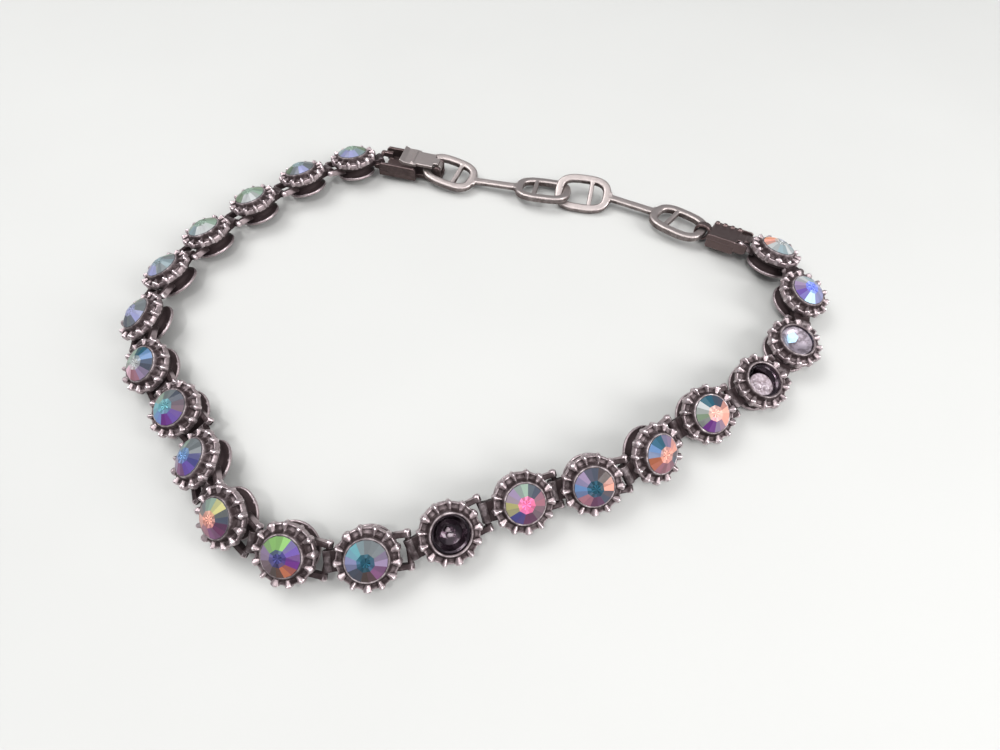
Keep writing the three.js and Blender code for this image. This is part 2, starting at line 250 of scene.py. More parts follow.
def plain_mesh(shape):
    """The object's mesh with its modifiers applied; the object is removed."""
    evaluated = shape.evaluated_get(bpy.context.evaluated_depsgraph_get())
    mesh = bpy.data.meshes.new_from_object(evaluated)
    mesh.name = shape.name
    bpy.data.objects.remove(shape)
    return mesh


def together(name, meshes):
    shape = bmesh.new()
    for mesh in meshes:
        shape.from_mesh(mesh)
    joined = bpy.data.meshes.new(name)
    shape.to_mesh(joined)
    shape.free()
    return joined


def cast_as_one(name, meshes, grain, faces):
    """Melts overlapping shapes into one casting with soft corners, thinned to about so many faces."""
    shape = object_from(together(name, meshes))
    remesh = shape.modifiers.new("remesh", "REMESH")
    remesh.mode = "VOXEL"
    remesh.voxel_size = grain
    soften = shape.modifiers.new("soften", "SMOOTH")
    soften.factor = 0.5
    soften.iterations = 2
    thin = shape.modifiers.new("thin", "DECIMATE")
    thin.ratio = 1.0
    bpy.context.view_layer.update()
    evaluated = shape.evaluated_get(bpy.context.evaluated_depsgraph_get())
    triangles = 2 * len(evaluated.data.polygons)
    thin.ratio = min(1.0, faces / max(1, triangles))
    mesh = plain_mesh(shape)
    mesh.shade_smooth()
    return mesh


def measure_surface(mesh, reach=1.3, clean_and_lit_share=None):
    """Stores how open each spot is, so that tarnish and painted shade can lie in the hollows, and how much it
    stands out, for wear.

    The share function given scales each spot's openness by what tarnish and painted shade leave of it, from
    its place and its facing.
    """
    mesh.calc_loop_triangles()
    tree = BVHTree.FromPolygons(
        [vertex.co for vertex in mesh.vertices], [tuple(face.vertices) for face in mesh.polygons])
    rays = []
    for index in range(RAY_COUNT):
        height = 1 - (index + 0.5) / RAY_COUNT * 0.9
        turn = index * GOLDEN_TURN
        side = math.sqrt(1 - height * height)
        rays.append(Vector((side * math.cos(turn), side * math.sin(turn), height)))
    neighbours = [[] for _ in mesh.vertices]
    for edge in mesh.edges:
        first, second = edge.vertices
        neighbours[first].append(second)
        neighbours[second].append(first)
    openness = mesh.attributes.new("openness", "FLOAT", "POINT")
    wear = mesh.attributes.new("wear", "FLOAT", "POINT")
    for index, vertex in enumerate(mesh.vertices):
        normal = vertex.normal
        across = normal.orthogonal().normalized()
        other = normal.cross(across)
        start = vertex.co + normal * 0.02
        clear = 0
        for ray in rays:
            direction = across * ray.x + other * ray.y + normal * ray.z
            if tree.ray_cast(start, direction, reach)[0] is None:
                clear += 1
        share = clean_and_lit_share(vertex.co, normal) if clean_and_lit_share else 1.0
        openness.data[index].value = share * clear / len(rays)
        bulge = 0.0
        for neighbour in neighbours[index]:
            step = vertex.co - mesh.vertices[neighbour].co
            bulge += step.dot(normal) / max(step.length, 1e-6)
        wear.data[index].value = 0.5 + 0.5 * bulge / max(1, len(neighbours[index]))


# ---- Finishes ----

class Field:
    """A value that varies over a surface, so that shader sums read as plain sums."""

    def __init__(self, finish, socket):
        self.finish = finish
        self.socket = socket

    def sum(self, operation, first, second):
        return self.finish.node("ShaderNodeMath", {"operation": operation}, {0: first, 1: second})

    def __add__(self, other):
        return self.sum("ADD", self, other)

    def __radd__(self, other):
        return self.sum("ADD", other, self)

    def __sub__(self, other):
        return self.sum("SUBTRACT", self, other)

    def __rsub__(self, other):
        return self.sum("SUBTRACT", other, self)

    def __mul__(self, other):
        return self.sum("MULTIPLY", self, other)

    def __rmul__(self, other):
        return self.sum("MULTIPLY", other, self)

    def between(self, low, high):
        """0 below low, 1 above high, and smooth between."""
        return self.finish.node(
            "ShaderNodeMapRange", {"interpolation_type": "SMOOTHSTEP"},
            {"Value": self, "From Min": low, "From Max": high})


class Finish:
    """A material that is built node by node."""

    def __init__(self, name):
        self.material = bpy.data.materials.new(name)
        self.material.use_nodes = True
        self.tree = self.material.node_tree
        self.tree.nodes.clear()

    def node(self, kind, settings=None, sockets=None, output=0):
        made = self.tree.nodes.new(kind)
        for key, value in (settings or {}).items():
            setattr(made, key, value)
        for key, value in (sockets or {}).items():
            if isinstance(value, Field):
                self.tree.links.new(value.socket, made.inputs[key])
            else:
                made.inputs[key].default_value = value
        return Field(self, made.outputs[output])

    def place(self):
        return self.node("ShaderNodeTexCoord", output="Object")

    def stored(self, name, output="Fac"):
        return self.node("ShaderNodeAttribute", {"attribute_name": name}, output=output)

    def speckle(self, size, detail=3.0, roughness=0.6):
        """Noise whose lumps are about size millimetres wide."""
        return self.node(
            "ShaderNodeTexNoise", {}, {"Vector": self.place(), "Scale": 1 / (size * MM), "Detail": detail,
                                       "Roughness": roughness})

    def blend(self, amount, first, second):
        sockets = {"Factor": amount, 6: first, 7: second}
        return self.node("ShaderNodeMix", {"data_type": "RGBA"}, sockets, output=2)

    def surface(self, **sockets):
        named = {key.replace("_", " ").title().replace("Ior", "IOR"): value for key, value in sockets.items()}
        shader = self.node("ShaderNodeBsdfPrincipled", {}, named)
        self.node_output(shader)
        return self.material

    def node_output(self, shader):
        made = self.tree.nodes.new("ShaderNodeOutputMaterial")
        self.tree.links.new(shader.socket, made.inputs["Surface"])


def rgba(red, green, blue):
    return (*linear((red, green, blue)), 1.0)


def antiqued_metal(name, bright, body, dirt_and_shade, shine):
    """Silver plate with brown tarnish and painted shade in the hollows and on shaded faces, and bare,
    brighter metal where it rubs.
    """
    finish = Finish(name)
    mottle = finish.speckle(0.9)
    grain = finish.speckle(0.16, detail=2.0)
    open_air = finish.stored("openness")
    worn = finish.stored("wear")
    well = finish.stored("well")
    # The dark colour stands for tarnish and for painted shade, as the openness carries both.
    clean_and_lit = (open_air + (mottle - 0.5) * 0.5).between(0.22, 0.74)
    rubbed = (worn + (mottle - 0.5) * 0.12).between(0.52, 0.66) * (0.1 + 0.9 * clean_and_lit)
    colour = finish.blend(clean_and_lit, rgba(*dirt_and_shade), rgba(*body))
    colour = finish.blend(rubbed, colour, rgba(*bright))
    colour = finish.blend(well, colour, rgba(0.24, 0.19, 0.225))
    bump = finish.node(
        "ShaderNodeBump", {}, {"Strength": 0.7, "Distance": 0.00007, "Height": grain * 0.5 + mottle})
    return finish.surface(
        base_color=colour,
        metallic=(0.6 + 0.4 * clean_and_lit) * (1 - well) + well,
        roughness=(0.58 - 0.22 * clean_and_lit - shine * rubbed + 0.16 * grain) * (1 - well) + 0.16 * well,
        normal=bump,
        coat_weight=0.8 * well,
        coat_roughness=0.05,
    )


def coated_crystal():
    """Crystal under a rainbow coating: each facet holds its own colour, the coating's tint with painted
    reflections and glints, and its own small lean.
    """
    finish = Finish("coated_crystal")
    colour = finish.stored("tint", output="Color")
    tilt = finish.stored("glint", output="Vector")
    return finish.surface(
        base_color=colour, roughness=0.35, specular_ior_level=0.05, normal=tilt, coat_weight=0.3,
        coat_roughness=0.03, coat_ior=1.5)


def old_glue():
    finish = Finish("old_glue")
    cloud = finish.speckle(0.35)
    colour = finish.blend(cloud.between(0.35, 0.65), rgba(0.50, 0.44, 0.46), rgba(0.70, 0.65, 0.68))
    bump = finish.node("ShaderNodeBump", {}, {"Strength": 0.6, "Distance": 0.00005, "Height": cloud})
    return finish.surface(base_color=colour, roughness=0.25 + 0.2 * cloud, normal=bump, coat_weight=0.6)


def old_foil():
    finish = Finish("old_foil")
    cloud = finish.speckle(0.6)
    colour = finish.blend(cloud.between(0.4, 0.6), rgba(0.48, 0.44, 0.47), rgba(0.66, 0.62, 0.66))
    bump = finish.node("ShaderNodeBump", {}, {"Strength": 0.4, "Distance": 0.00004, "Height": cloud})
    return finish.surface(base_color=colour, metallic=0.6, roughness=0.24 + 0.2 * cloud, normal=bump)


# The third colour of each metal is its tarnish, also used as painted shade.
SILVER = antiqued_metal("antiqued_silver", (1.0, 0.96, 0.97), (0.67, 0.61, 0.62), (0.19, 0.14, 0.145), 0.24)
DULL_SILVER = antiqued_metal(
    "dull_silver", (0.64, 0.56, 0.56), (0.42, 0.36, 0.355), (0.22, 0.175, 0.17), 0.12)
LINK_SILVER = antiqued_metal("link_silver", (0.90, 0.87, 0.85), (0.70, 0.66, 0.65), (0.26, 0.21, 0.20), 0.14)
CRYSTAL = coated_crystal()
GLUE = old_glue()
FOIL = old_foil()


# ---- Setting ----

def tooth_mesh():
    """One claw of the crown, from the collar at the left out to its tip at x 0."""
    stations = [
        (-1.1, 0.15, -0.42), (-0.8, 0.18, -0.5), (-0.5, 0.27, -0.5), (-0.2, 0.35, -0.46), (-0.08, 0.3, -0.5),
        (0.06, 0.1, -0.66)]
    sections = []
    for x, half, top in stations:
        ridge = top + 0.75 * half
        sections.append([
            (x, -half, -1.15), (x, half, -1.15), (x, half, top), (x, half * 0.16, ridge),
            (x, -half * 0.16, ridge), (x, -half, top)])
    return lofted("tooth", sections)


def crown_of_teeth(tooth):
    """Repeats the tooth round the collar, each a little different in size and turn."""
    tree = bpy.data.node_groups.new("ring_of_teeth", "GeometryNodeTree")
    kinds = {"Tooth": "Object", "Count": "Int", "Radius": "Float", "Unevenness": "Float", "Metal": "Material"}
    for name, kind in kinds.items():
        tree.interface.new_socket(name, in_out="INPUT", socket_type="NodeSocket" + kind)
    tree.interface.new_socket("Geometry", in_out="OUTPUT", socket_type="NodeSocketGeometry")

    def add(kind, settings=None, sockets=None):
        made = tree.nodes.new(kind)
        for key, value in (settings or {}).items():
            setattr(made, key, value)
        for key, value in (sockets or {}).items():
            if isinstance(value, bpy.types.NodeSocket):
                tree.links.new(value, made.inputs[key])
            else:
                made.inputs[key].default_value = value
        return made

    given = add("NodeGroupInput").outputs
    circle = add("GeometryNodeMeshCircle", {}, {"Vertices": given["Count"], "Radius": given["Radius"]})
    index = add("GeometryNodeInputIndex")
    step = add("ShaderNodeMath", {"operation": "DIVIDE"}, {0: 2 * math.pi, 1: given["Count"]})
    turn = add("ShaderNodeMath", {"operation": "MULTIPLY"}, {0: index.outputs[0], 1: step.outputs[0]})
    low = add("ShaderNodeMath", {"operation": "SUBTRACT"}, {0: 1.0, 1: given["Unevenness"]})
    high = add("ShaderNodeMath", {"operation": "ADD"}, {0: 1.0, 1: given["Unevenness"]})
    limits = {2: low.outputs[0], 3: high.outputs[0]}
    size = add("FunctionNodeRandomValue", {"data_type": "FLOAT"}, {**limits, "Seed": 7})
    stretch = add("FunctionNodeRandomValue", {"data_type": "FLOAT"}, {**limits, "Seed": 12})
    scale = add("ShaderNodeCombineXYZ", {}, {0: 1.0, 1: size.outputs[1], 2: 1.0})
    lean = add("ShaderNodeMath", {"operation": "MULTIPLY_ADD"}, {0: stretch.outputs[1], 1: 0.35, 2: -0.35})
    facing = add("ShaderNodeMath", {"operation": "ADD"}, {0: turn.outputs[0], 1: lean.outputs[0]})
    euler = add("ShaderNodeCombineXYZ", {}, {2: facing.outputs[0]})
    rotation = add("FunctionNodeEulerToRotation", {}, {0: euler.outputs[0]})
    shape = add("GeometryNodeObjectInfo", {}, {"Object": given["Tooth"]})
    placed = add("GeometryNodeInstanceOnPoints", {}, {
        "Points": circle.outputs["Mesh"], "Instance": shape.outputs["Geometry"],
        "Rotation": rotation.outputs[0], "Scale": scale.outputs[0]})
    real = add("GeometryNodeRealizeInstances", {}, {"Geometry": placed.outputs[0]})
    metal = add("GeometryNodeSetMaterial", {}, {"Geometry": real.outputs[0], "Material": given["Metal"]})
    add("NodeGroupOutput", {}, {"Geometry": metal.outputs[0]})

    master = object_from(tooth)
    ring = object_from(bpy.data.meshes.new("crown_teeth"))
    modifier = ring.modifiers.new("teeth", "NODES")
    modifier.node_group = tree
    values = {
        "Tooth": master, "Count": TOOTH_COUNT, "Radius": CROWN_RADIUS, "Unevenness": 0.26, "Metal": SILVER}
    for item in tree.interface.items_tree:
        if item.in_out == "INPUT":
            modifier[item.identifier] = values[item.name]
    mesh = plain_mesh(ring)
    bpy.data.objects.remove(master)
    mesh.transform(Matrix.Rotation(math.pi / TOOTH_COUNT, 4, "Z"))
    return mesh


def hinge_lug(y):
    """One of the two ears that hold the pin."""
    level = -HINGE_DEPTH
    outline = [(1.7, level - 0.42)]
    outline += arc(HINGE_REACH, level, 0.38, -90, 90)
    outline += [(1.7, level + 0.42)]
    return side_plate("lug", outline, LUG_WIDTH, y)


def hinge_tongue():
    """The broad tongue that turns on the neighbour's pin: a rolled barrel on a thinner web."""
    level = -HINGE_DEPTH
    web = [(-1.7, level + 0.5), (-3.5, level + 0.34), (-3.5, level - 0.34), (-1.7, level - 0.5)]
    barrel = arc(-HINGE_REACH, level, 0.52, 0, 340, 16)
    return [side_plate("web", web, TONGUE_WIDTH), side_plate("barrel", barrel, TONGUE_WIDTH)]


def cup_mesh():
    """The round body of a setting: back, neck, collar and the cup for the stone."""
    return turned("cup", [
        (0, -3.2), (2.45, -3.2), (2.64, -3.12), (2.7, -2.98), (2.66, -2.82), (2.45, -2.72), (2.15, -2.45),
        (2.1, -2.0), (2.2, -1.8), (2.7, -1.68), (2.92, -1.45), (3.0, -1.2), (3.0, -0.8), (2.92, -0.7),
        (2.84, -0.72), (2.74, -0.8), (2.4, -0.68), (2.24, -0.52), (2.18, -0.16), (2.12, -0.04), (2.06, 0),
        (1.98, -0.04), (CUP_RADIUS, -0.14), (1.86, -0.46), (1.66, -0.56), (1.58, -0.72), (1.25, -1.2),
        (0.7, -1.55), (0, -1.66),
    ])


def pin_head(side):
    """The domed end of the hinge pin on one side."""
    profile = [(0, -0.2), (0.34, -0.2), (0.38, 0), (0.35, 0.1), (0.2, 0.18), (0, 0.21)]
    head = turned("pin_head", profile, 20)
    across = Matrix.Translation((HINGE_REACH, side * PIN_HEAD_SPREAD, -HINGE_DEPTH))
    head.transform(across @ Matrix.Rotation(-side * math.pi / 2, 4, "X"))
    return head


def casting_mesh():
    """One setting as a single casting, with its tarnish and painted shade, and the polished well of its cup.
    """
    parts = [cup_mesh(), crown_of_teeth(tooth_mesh()), *hinge_tongue()]
    parts += [hinge_lug(-LUG_SPREAD), hinge_lug(LUG_SPREAD)]
    parts.append(cross_pin("pin", HINGE_REACH, -HINGE_DEPTH, 0.28, 1.94))
    parts += [pin_head(side) for side in (-1, 1)]
    casting = cast_as_one("casting", parts, grain=0.06, faces=17000)
    measure_surface(casting, clean_and_lit_share=casting_tarnish_and_shade)
    well = casting.attributes.new("well", "FLOAT", "POINT")
    for index, vertex in enumerate(casting.vertices):
        deep = -1.8 < vertex.co.z < -0.12 and vertex.co.xy.length < CUP_RADIUS + 0.03
        well.data[index].value = 1.0 if deep else 0.0
    return casting


def casting_tarnish_and_shade(spot, facing):
    """The share of untarnished metal, with painted light and shade mixed in: most on the crown and the pin
    heads, with a painted bright edge on the back rim; darker on the collar; painted shade in the pockets and
    under the crown; least on the neck, the back and the hinges, where shade is painted, a little less on
    hinge faces that look up.
    """
    across = spot.xy.length
    on_pin_head = abs(spot.x) > 2.9 and abs(spot.y) > 1.82 and spot.z < -1.3
    on_hinge = abs(spot.x) > 3.0 and spot.z < -1.15
    on_back_rim = spot.z < -2.75 and across > 2.45 and abs(spot.x) < 2.75
    in_pocket = across < 2.95 and spot.z < -0.62
    under_crown = spot.z < -0.98 and across > 2.9
    if on_pin_head:
        return 0.95
    # Hinges: painted shade, lighter on faces that look up.
    if on_hinge:
        return 0.32 if facing.z > 0.3 else 0.12
    # Behind the crown: painted shade on the neck and back, and a painted bright edge on the back rim.
    if spot.z < -1.4:
        return 0.75 if on_back_rim else 0.14
    if across < 2.4:
        return 0.44
    # Pockets and the metal under the crown's rim: painted shade.
    if in_pocket:
        return 0.7
    return 0.55 if under_crown else 1.0


def shade_painted_on_walls(spot, facing):
    """Painted light and shade: faces that look up stay bright, and the walls are darkened as painted shade.
    """
    return 1.0 if facing.z > 0.55 else 0.42


def setting_matrix(setting):
    """The axes of a setting: its line of travel, its pin and its face."""
    bearing, tilt, climb = (math.radians(value) for value in (setting.bearing, setting.tilt, setting.climb))
    face = Vector((math.cos(bearing) * math.cos(tilt), math.sin(bearing) * math.cos(tilt), math.sin(tilt)))
    level = Vector((-math.sin(bearing), math.cos(bearing), 0))
    travel = Matrix.Rotation(climb, 3, face) @ level
    return Matrix((travel, face.cross(travel), face)).transposed()


def setting_places():
    """Walks along the row from hinge to hinge, as the solids were placed."""
    places = []
    hinge = None
    for setting in SETTINGS:
        axes = setting_matrix(setting)
        travel, face = axes.col[0], axes.col[2]
        height = SETTING_DEPTH * face.z + BACK_RADIUS * math.cos(math.radians(setting.tilt))
        middle = START.copy()
        if hinge:
            middle = hinge + travel * (HINGE_REACH + setting.slack) + face * HINGE_DEPTH
            middle += (last_travel - travel) * setting.slack / 2
        middle.z = height
        hinge = middle - face * HINGE_DEPTH + travel * HINGE_REACH
        last_travel = travel
        places.append(Matrix.Translation(middle) @ axes.to_4x4())
    return places


def lie(middle, bearing, roll, drop):
    turn = Matrix.Rotation(math.radians(bearing), 4, "Z") @ Matrix.Rotation(math.radians(drop), 4, "Y")
    return Matrix.Translation(middle) @ turn @ Matrix.Rotation(math.radians(roll), 4, "X")


def finish_piece(name, mesh, place, material, nodes, body="bracelet"):
    """Puts a mesh drawn in millimetres in its place, no higher than the solids that it stands for."""
    placed = mesh.copy()
    placed.name = name
    placed.transform(Matrix.Scale(MM, 4) @ place)
    for corner in placed.vertices:
        corner.co.z = min(corner.co.z, CAD_HIGH[2])
    placed.materials.clear()
    placed.materials.append(material)
    piece = object_from(placed)
    piece.name = name
    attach(piece, body)
    if nodes:
        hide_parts(*nodes)
    return piece


# ---- Stone ----

def stone_mesh(setting, place, seed):
    """A round stone: an eight-sided table, eight crown facets in two strips each, and a pointed back."""
    chance = random.Random(seed)
    points, faces, tints = [], [], []
    tones = [TINTS[name] for name in setting.facets.split()]
    table = TINTS[setting.table]

    def add(corners, tint, light):
        start = len(points)
        points.extend(corners)
        faces.append(tuple(range(start, len(points))))
        tints.append(tuple(min(1.0, value * light) for value in tint))

    def girdle(angle, height):
        return Vector((STONE_RADIUS * math.cos(angle), STONE_RADIUS * math.sin(angle), height))

    def table_edge(facet, share):
        first, second = (math.radians(FACET_TURN * (facet + side)) for side in (-0.5, 0.5))
        start = Vector((math.cos(first), math.sin(first), 0)) * TABLE_RADIUS
        end = Vector((math.cos(second), math.sin(second), 0)) * TABLE_RADIUS
        return start.lerp(end, share) + Vector((0, 0, TABLE_HEIGHT))

    strips = len(STRIP_LIGHTS)
    star = Vector((chance.uniform(-0.1, 0.1), chance.uniform(-0.1, 0.1), TABLE_HEIGHT))
    back = Vector((0, 0, STONE_POINT))
    for facet in range(8):
        after = tones[(facet + 1) % 8]
        for strip in range(strips):
            low, high = strip / strips, (strip + 1) / strips
            turns = [math.radians(FACET_TURN * (facet + share - 0.5)) for share in (low, high)]
            top = [girdle(turn, GIRDLE_TOP) for turn in turns]
            foot = [girdle(turn, GIRDLE_FOOT) for turn in turns]
            tone = [0.8 * a + 0.2 * b for a, b in zip(tones[facet], after)] if strip else tones[facet]
            # The strip's light factor paints a reflection into its colour.
            light = STRIP_LIGHTS[strip] * chance.uniform(0.92, 1.1)
            add([top[0], top[1], table_edge(facet, high), table_edge(facet, low)], tone, light)
            add([top[1], top[0], foot[0], foot[1]], GIRDLE_TINT, SHADED)
            add([foot[1], foot[0], back], BACK_TINT, SHADED)
        # The table's star: lighter and darker copies of the table's tones, painted reflections of the back
        # facets.
        edge_tone = [0.75 * a + 0.25 * b for a, b in zip(table, tones[facet])]
        for shares, inner, outer in (((0, 0.5), 0.8, 1.06), ((0.5, 1), 1.12, 0.92)):
            edges = [table_edge(facet, share) for share in shares]
            corners = [star.lerp(edge, 0.55) for edge in edges]
            add([star, *corners], table, inner * chance.uniform(0.8, 1.2))
            add([corners[0], *edges, corners[1]], edge_tone, outer * chance.uniform(0.85, 1.15))
    mesh = bpy.data.meshes.new("stone")
    mesh.from_pydata([tuple(point) for point in points], [], faces)
    tint = mesh.attributes.new("tint", "FLOAT_COLOR", "CORNER")
    glint = mesh.attributes.new("glint", "FLOAT_VECTOR", "FACE")
    turn = place.to_3x3()
    for face in mesh.polygons:
        for corner in face.loop_indices:
            tint.data[corner].color = (*linear(tints[face.index]), 1.0)
        shift = Vector([chance.uniform(-1, 1) for _ in range(3)]) * 0.22
        glint.data[face.index].vector = (turn @ (face.normal + shift)).normalized()
    return mesh


# ---- What the lost stones left in their cups ----

def glue_mesh(seed, count, spread):
    """Dried drops of glue scattered about the floor of a cup."""
    chance = random.Random(seed)
    lumps = []
    for _ in range(count):
        radius = chance.uniform(0.16, 0.34)
        place = Vector((chance.uniform(-spread, spread), chance.uniform(-spread, spread), -1.42))
        lumps.append(glue_drop(place, radius, chance.uniform(0.6, 1.0)))
    return cast_as_one("glue", lumps, grain=0.05, faces=2500)


def glue_drop(place, radius, squeeze):
    profile = [(0, -0.3)] + [(radius * math.cos(t), radius * 0.8 * math.sin(t)) for t in (0, 0.4, 0.8, 1.2)]
    drop = turned("drop", profile + [(0, radius * 0.8)], 16)
    drop.transform(Matrix.Translation(place) @ Matrix.Diagonal((1, squeeze, 1, 1)))
    return drop


def glue_bed_mesh():
    """A pool of glue that fills the lower side of a cup, with two thick drops on it."""
    pool = turned("pool", [(0, -1.9), (0.9, -1.5), (1.44, -1.0), (1.42, -0.82), (1.2, -0.74), (0, -0.84)], 40)
    pool.transform(Matrix.Translation((-0.26, -0.34, 0)))
    drops = [
        glue_drop(Vector((-0.72, -0.1, -0.8)), 0.5, 1.3), glue_drop(Vector((0.05, -0.78, -0.8)), 0.48, 1.1)]
    return cast_as_one("glue_bed", [pool, *drops], grain=0.05, faces=4000)


def foil_mesh():
    """The silver foil of a lost stone, still lining its cup as a crumpled cone."""
    foil = turned("foil", [
        (0, -1.62), (0.9, -1.3), (1.5, -0.72), (1.84, -0.4), (1.86, -0.32), (1.78, -0.3), (1.3, -0.6),
        (0.8, -0.94), (0.3, -1.14), (0, -1.18)], 72)
    chance = random.Random(3)
    leans = [(chance.uniform(0, 6.28), chance.uniform(1, 3), chance.uniform(0.02, 0.04)) for _ in range(3)]
    for vertex in foil.vertices:
        turn = math.atan2(vertex.co.y, vertex.co.x)
        crease = sum(depth * math.sin(round(count) * turn + start) for start, count, depth in leans)
        vertex.co.z += crease * min(1.0, vertex.co.xy.length)
    foil.shade_smooth()
    return foil


def chip_mesh(place):
    """A splinter of the lost stone, still stuck to its foil, its top painted with the blue-white glint colour
    as a painted highlight.
    """
    outline = [(1.0, 0.02), (0.46, 0.8), (-0.5, 0.72), (-0.9, 0.02), (-0.4, -0.62), (0.5, -0.66)]
    points = [(x, y, -0.35) for x, y in outline] + [(0.6 * x, 0.6 * y, 0.08) for x, y in outline]
    faces = [(5, 4, 3, 2, 1, 0), tuple(range(6, 12))]
    faces += [(side, (side + 1) % 6, 6 + (side + 1) % 6, 6 + side) for side in range(6)]
    chip = mesh_from("chip", points, faces)
    chip.transform(Matrix.Translation((0.5, 0.62, -0.62)) @ Matrix.Rotation(-0.3, 4, "X"))
    tint = chip.attributes.new("tint", "FLOAT_COLOR", "CORNER")
    glint = chip.attributes.new("glint", "FLOAT_VECTOR", "FACE")
    turn = place.to_3x3()
    for face in chip.polygons:
        # The top face takes the blue-white tint: a painted glint.
        name = "glow" if face.normal.z > 0.2 else "lavender"
        for corner in face.loop_indices:
            tint.data[corner].color = (*linear(TINTS[name]), 1.0)
        glint.data[face.index].vector = (turn @ face.normal).normalized()
    return chip


# ---- Links ----

def oval_path(length, width, squareness=3, steps=56):
    """A flat oval, a little squarer than an ellipse."""
    points = []
    for step in range(steps):
        angle = 2 * math.pi * step / steps
        ways = (math.cos(angle), math.sin(angle))
        along, across = (math.copysign(abs(way) ** (2 / squareness), way) for way in ways)
        points.append(Vector((along * length / 2, across * width / 2, 0)))
    return points


def rounded_section(width, height, corner):
    """The outline of a bar cut across, with round corners."""
    points = []
    for sign_x, sign_y, start in ((1, 1, 0), (-1, 1, 90), (-1, -1, 180), (1, -1, 270)):
        middle = (sign_x * (width / 2 - corner), sign_y * (height / 2 - corner))
        points += arc(*middle, corner, start, start + 90, 4)
    return points


def swept_ring(name, path, section):
    """A closed band: the section follows the path round."""
    points, faces = [], []
    count = len(section)
    for index, middle in enumerate(path):
        ahead = (path[(index + 1) % len(path)] - path[index - 1]).normalized()
        outward = Vector((ahead.y, -ahead.x, 0))
        points += [middle + outward * across + Vector((0, 0, up)) for across, up in section]
    for row in range(len(path)):
        for side in range(count):
            after = (side + 1) % count
            ahead = ((row + 1) % len(path)) * count
            faces.append((row * count + side, row * count + after, ahead + after, ahead + side))
    return mesh_from(name, points, faces)


def ring_meshes(ring, neck_side):
    """One ring where it lies, with its rung and neck, and the spot where the bar leaves it."""
    path = oval_path(RING_LENGTH - RING_RAIL, RING_WIDTH - RING_RAIL)
    band = swept_ring("ring", path, rounded_section(RING_RAIL, RING_THICKNESS, 0.3))
    rung_at = neck_side * RUNG_OFFSET
    rung = lofted("rung", [
        [(rung_at + x, y, z * 0.9) for x, z in rounded_section(0.62, RING_THICKNESS, 0.2)]
        for y in (-RING_WIDTH / 2 + 0.4, -1.0, 1.0, RING_WIDTH / 2 - 0.4)])
    collar = lofted("neck", [
        [(neck_side * out, y, z) for y, z in rounded_section(width, height, 0.2)]
        for out, width, height in ((3.2, 1.2, 0.5), (3.6, 1.7, 0.72), (4.1, 1.45, 0.74))])
    place = lie(SHIFT + Vector((ring.x, ring.y, ring.z)), ring.bearing, ring.roll, ring.drop)
    meshes = [band, rung, collar]
    for mesh in meshes:
        mesh.transform(place)
    return meshes, place @ Vector((neck_side * (RING_LENGTH - RING_RAIL) / 2, 0, 0))


def link_mesh(first, second):
    """Two rings joined by a straight bar, cast as one."""
    near, start = ring_meshes(first, 1)
    far, end = ring_meshes(second, -1)
    along = end - start
    stations = []
    for share in (0, 0.12, 0.5, 0.88, 1):
        width = 1.3 if share in (0, 1) else 1.12
        section = rounded_section(width, 0.66, 0.24)
        stations.append([(share * along.length, y, z) for y, z in section])
    bar = lofted("bar", stations)
    heading = Vector((along.x, along.y, 0)).normalized()
    side = Vector((-heading.y, heading.x, 0))
    forward = along.normalized()
    axes = Matrix((forward, side, forward.cross(side))).transposed()
    bar.transform(Matrix.Translation(start) @ axes.to_4x4())
    link = cast_as_one("link", near + far + [bar], grain=0.075, faces=16000)
    measure_surface(link, clean_and_lit_share=shade_painted_on_walls)
    return link


# ---- Clasp ----

def clasp_base_mesh():
    """The clasp's case: a plate between two cheeks, a nose with two ears, and both pins."""
    floor, cheek_top = -1.0, 0.95
    parts = [block("plate", 1.0, 5.9, 4.4, floor, -0.4), block("nose", 5.4, 9.5, 2.5, floor, -0.4)]
    cheek = [(0.5, floor), (5.9, floor), (5.9, 0.6), (5.6, cheek_top), (0.85, cheek_top), (0.5, 0.6)]
    parts += [side_plate("cheek", cheek, 0.45, side * 1.975) for side in (-1, 1)]
    bead = [(0.7, -0.15), (5.7, -0.15), (5.7, 0.12), (0.7, 0.12)]
    parts += [side_plate("bead", bead, 0.2, side * 2.16) for side in (-1, 1)]
    ear = [(8.5, floor), (9.45, floor)] + arc(8.85, 0.7, 0.56, 0, 150)
    parts += [side_plate("ear", ear, 0.42, side * 1.02) for side in (-1, 1)]
    lug = [(1.5, -0.42)] + arc(0, 0, 0.36, -90, -270) + [(1.5, 0.42)]
    parts += [side_plate("lug", lug, 0.55, side * 1.55) for side in (-1, 1)]
    parts += [cross_pin("pin", 0, 0, 0.24, 1.88), cross_pin("lever_pin", 8.85, 0.7, 0.2, 1.32)]
    base = cast_as_one("clasp_base", parts, grain=0.07, faces=12000)
    measure_surface(base, clean_and_lit_share=shade_painted_on_walls)
    return base


def clasp_lever_mesh():
    """The clasp's lever: a barrel on the nose's pin, a neck, and a flap with a rib and a raised lip."""
    underside, top = 1.1, 1.55
    leaf = [(9.2, 1.05), (8.9, top), (5.5, top), (5.5, underside), (8.27, underside)]
    flap = [(5.9, underside), (5.9, top), (4.2, top + 0.02)]
    flap += [(3.55, top + 0.35), (3.4, top + 0.1), (3.8, underside)]
    parts = [
        cross_pin("barrel", 8.85, 0.7, 0.57, 0.7, dome=0.06),
        side_plate("leaf", leaf, 1.4),
        block("neck", 5.3, 8.27, 3.0, underside, top),
        side_plate("flap", flap, 3.5),
        side_plate("rib", [(5.0, top - 0.1), (5.15, top + 0.16), (5.45, top + 0.16), (5.6, top - 0.1)], 3.0),
    ]
    lever = cast_as_one("clasp_lever", parts, grain=0.06, faces=9000)
    measure_surface(lever, clean_and_lit_share=shade_painted_on_walls)
    return lever


# ---- End loop ----

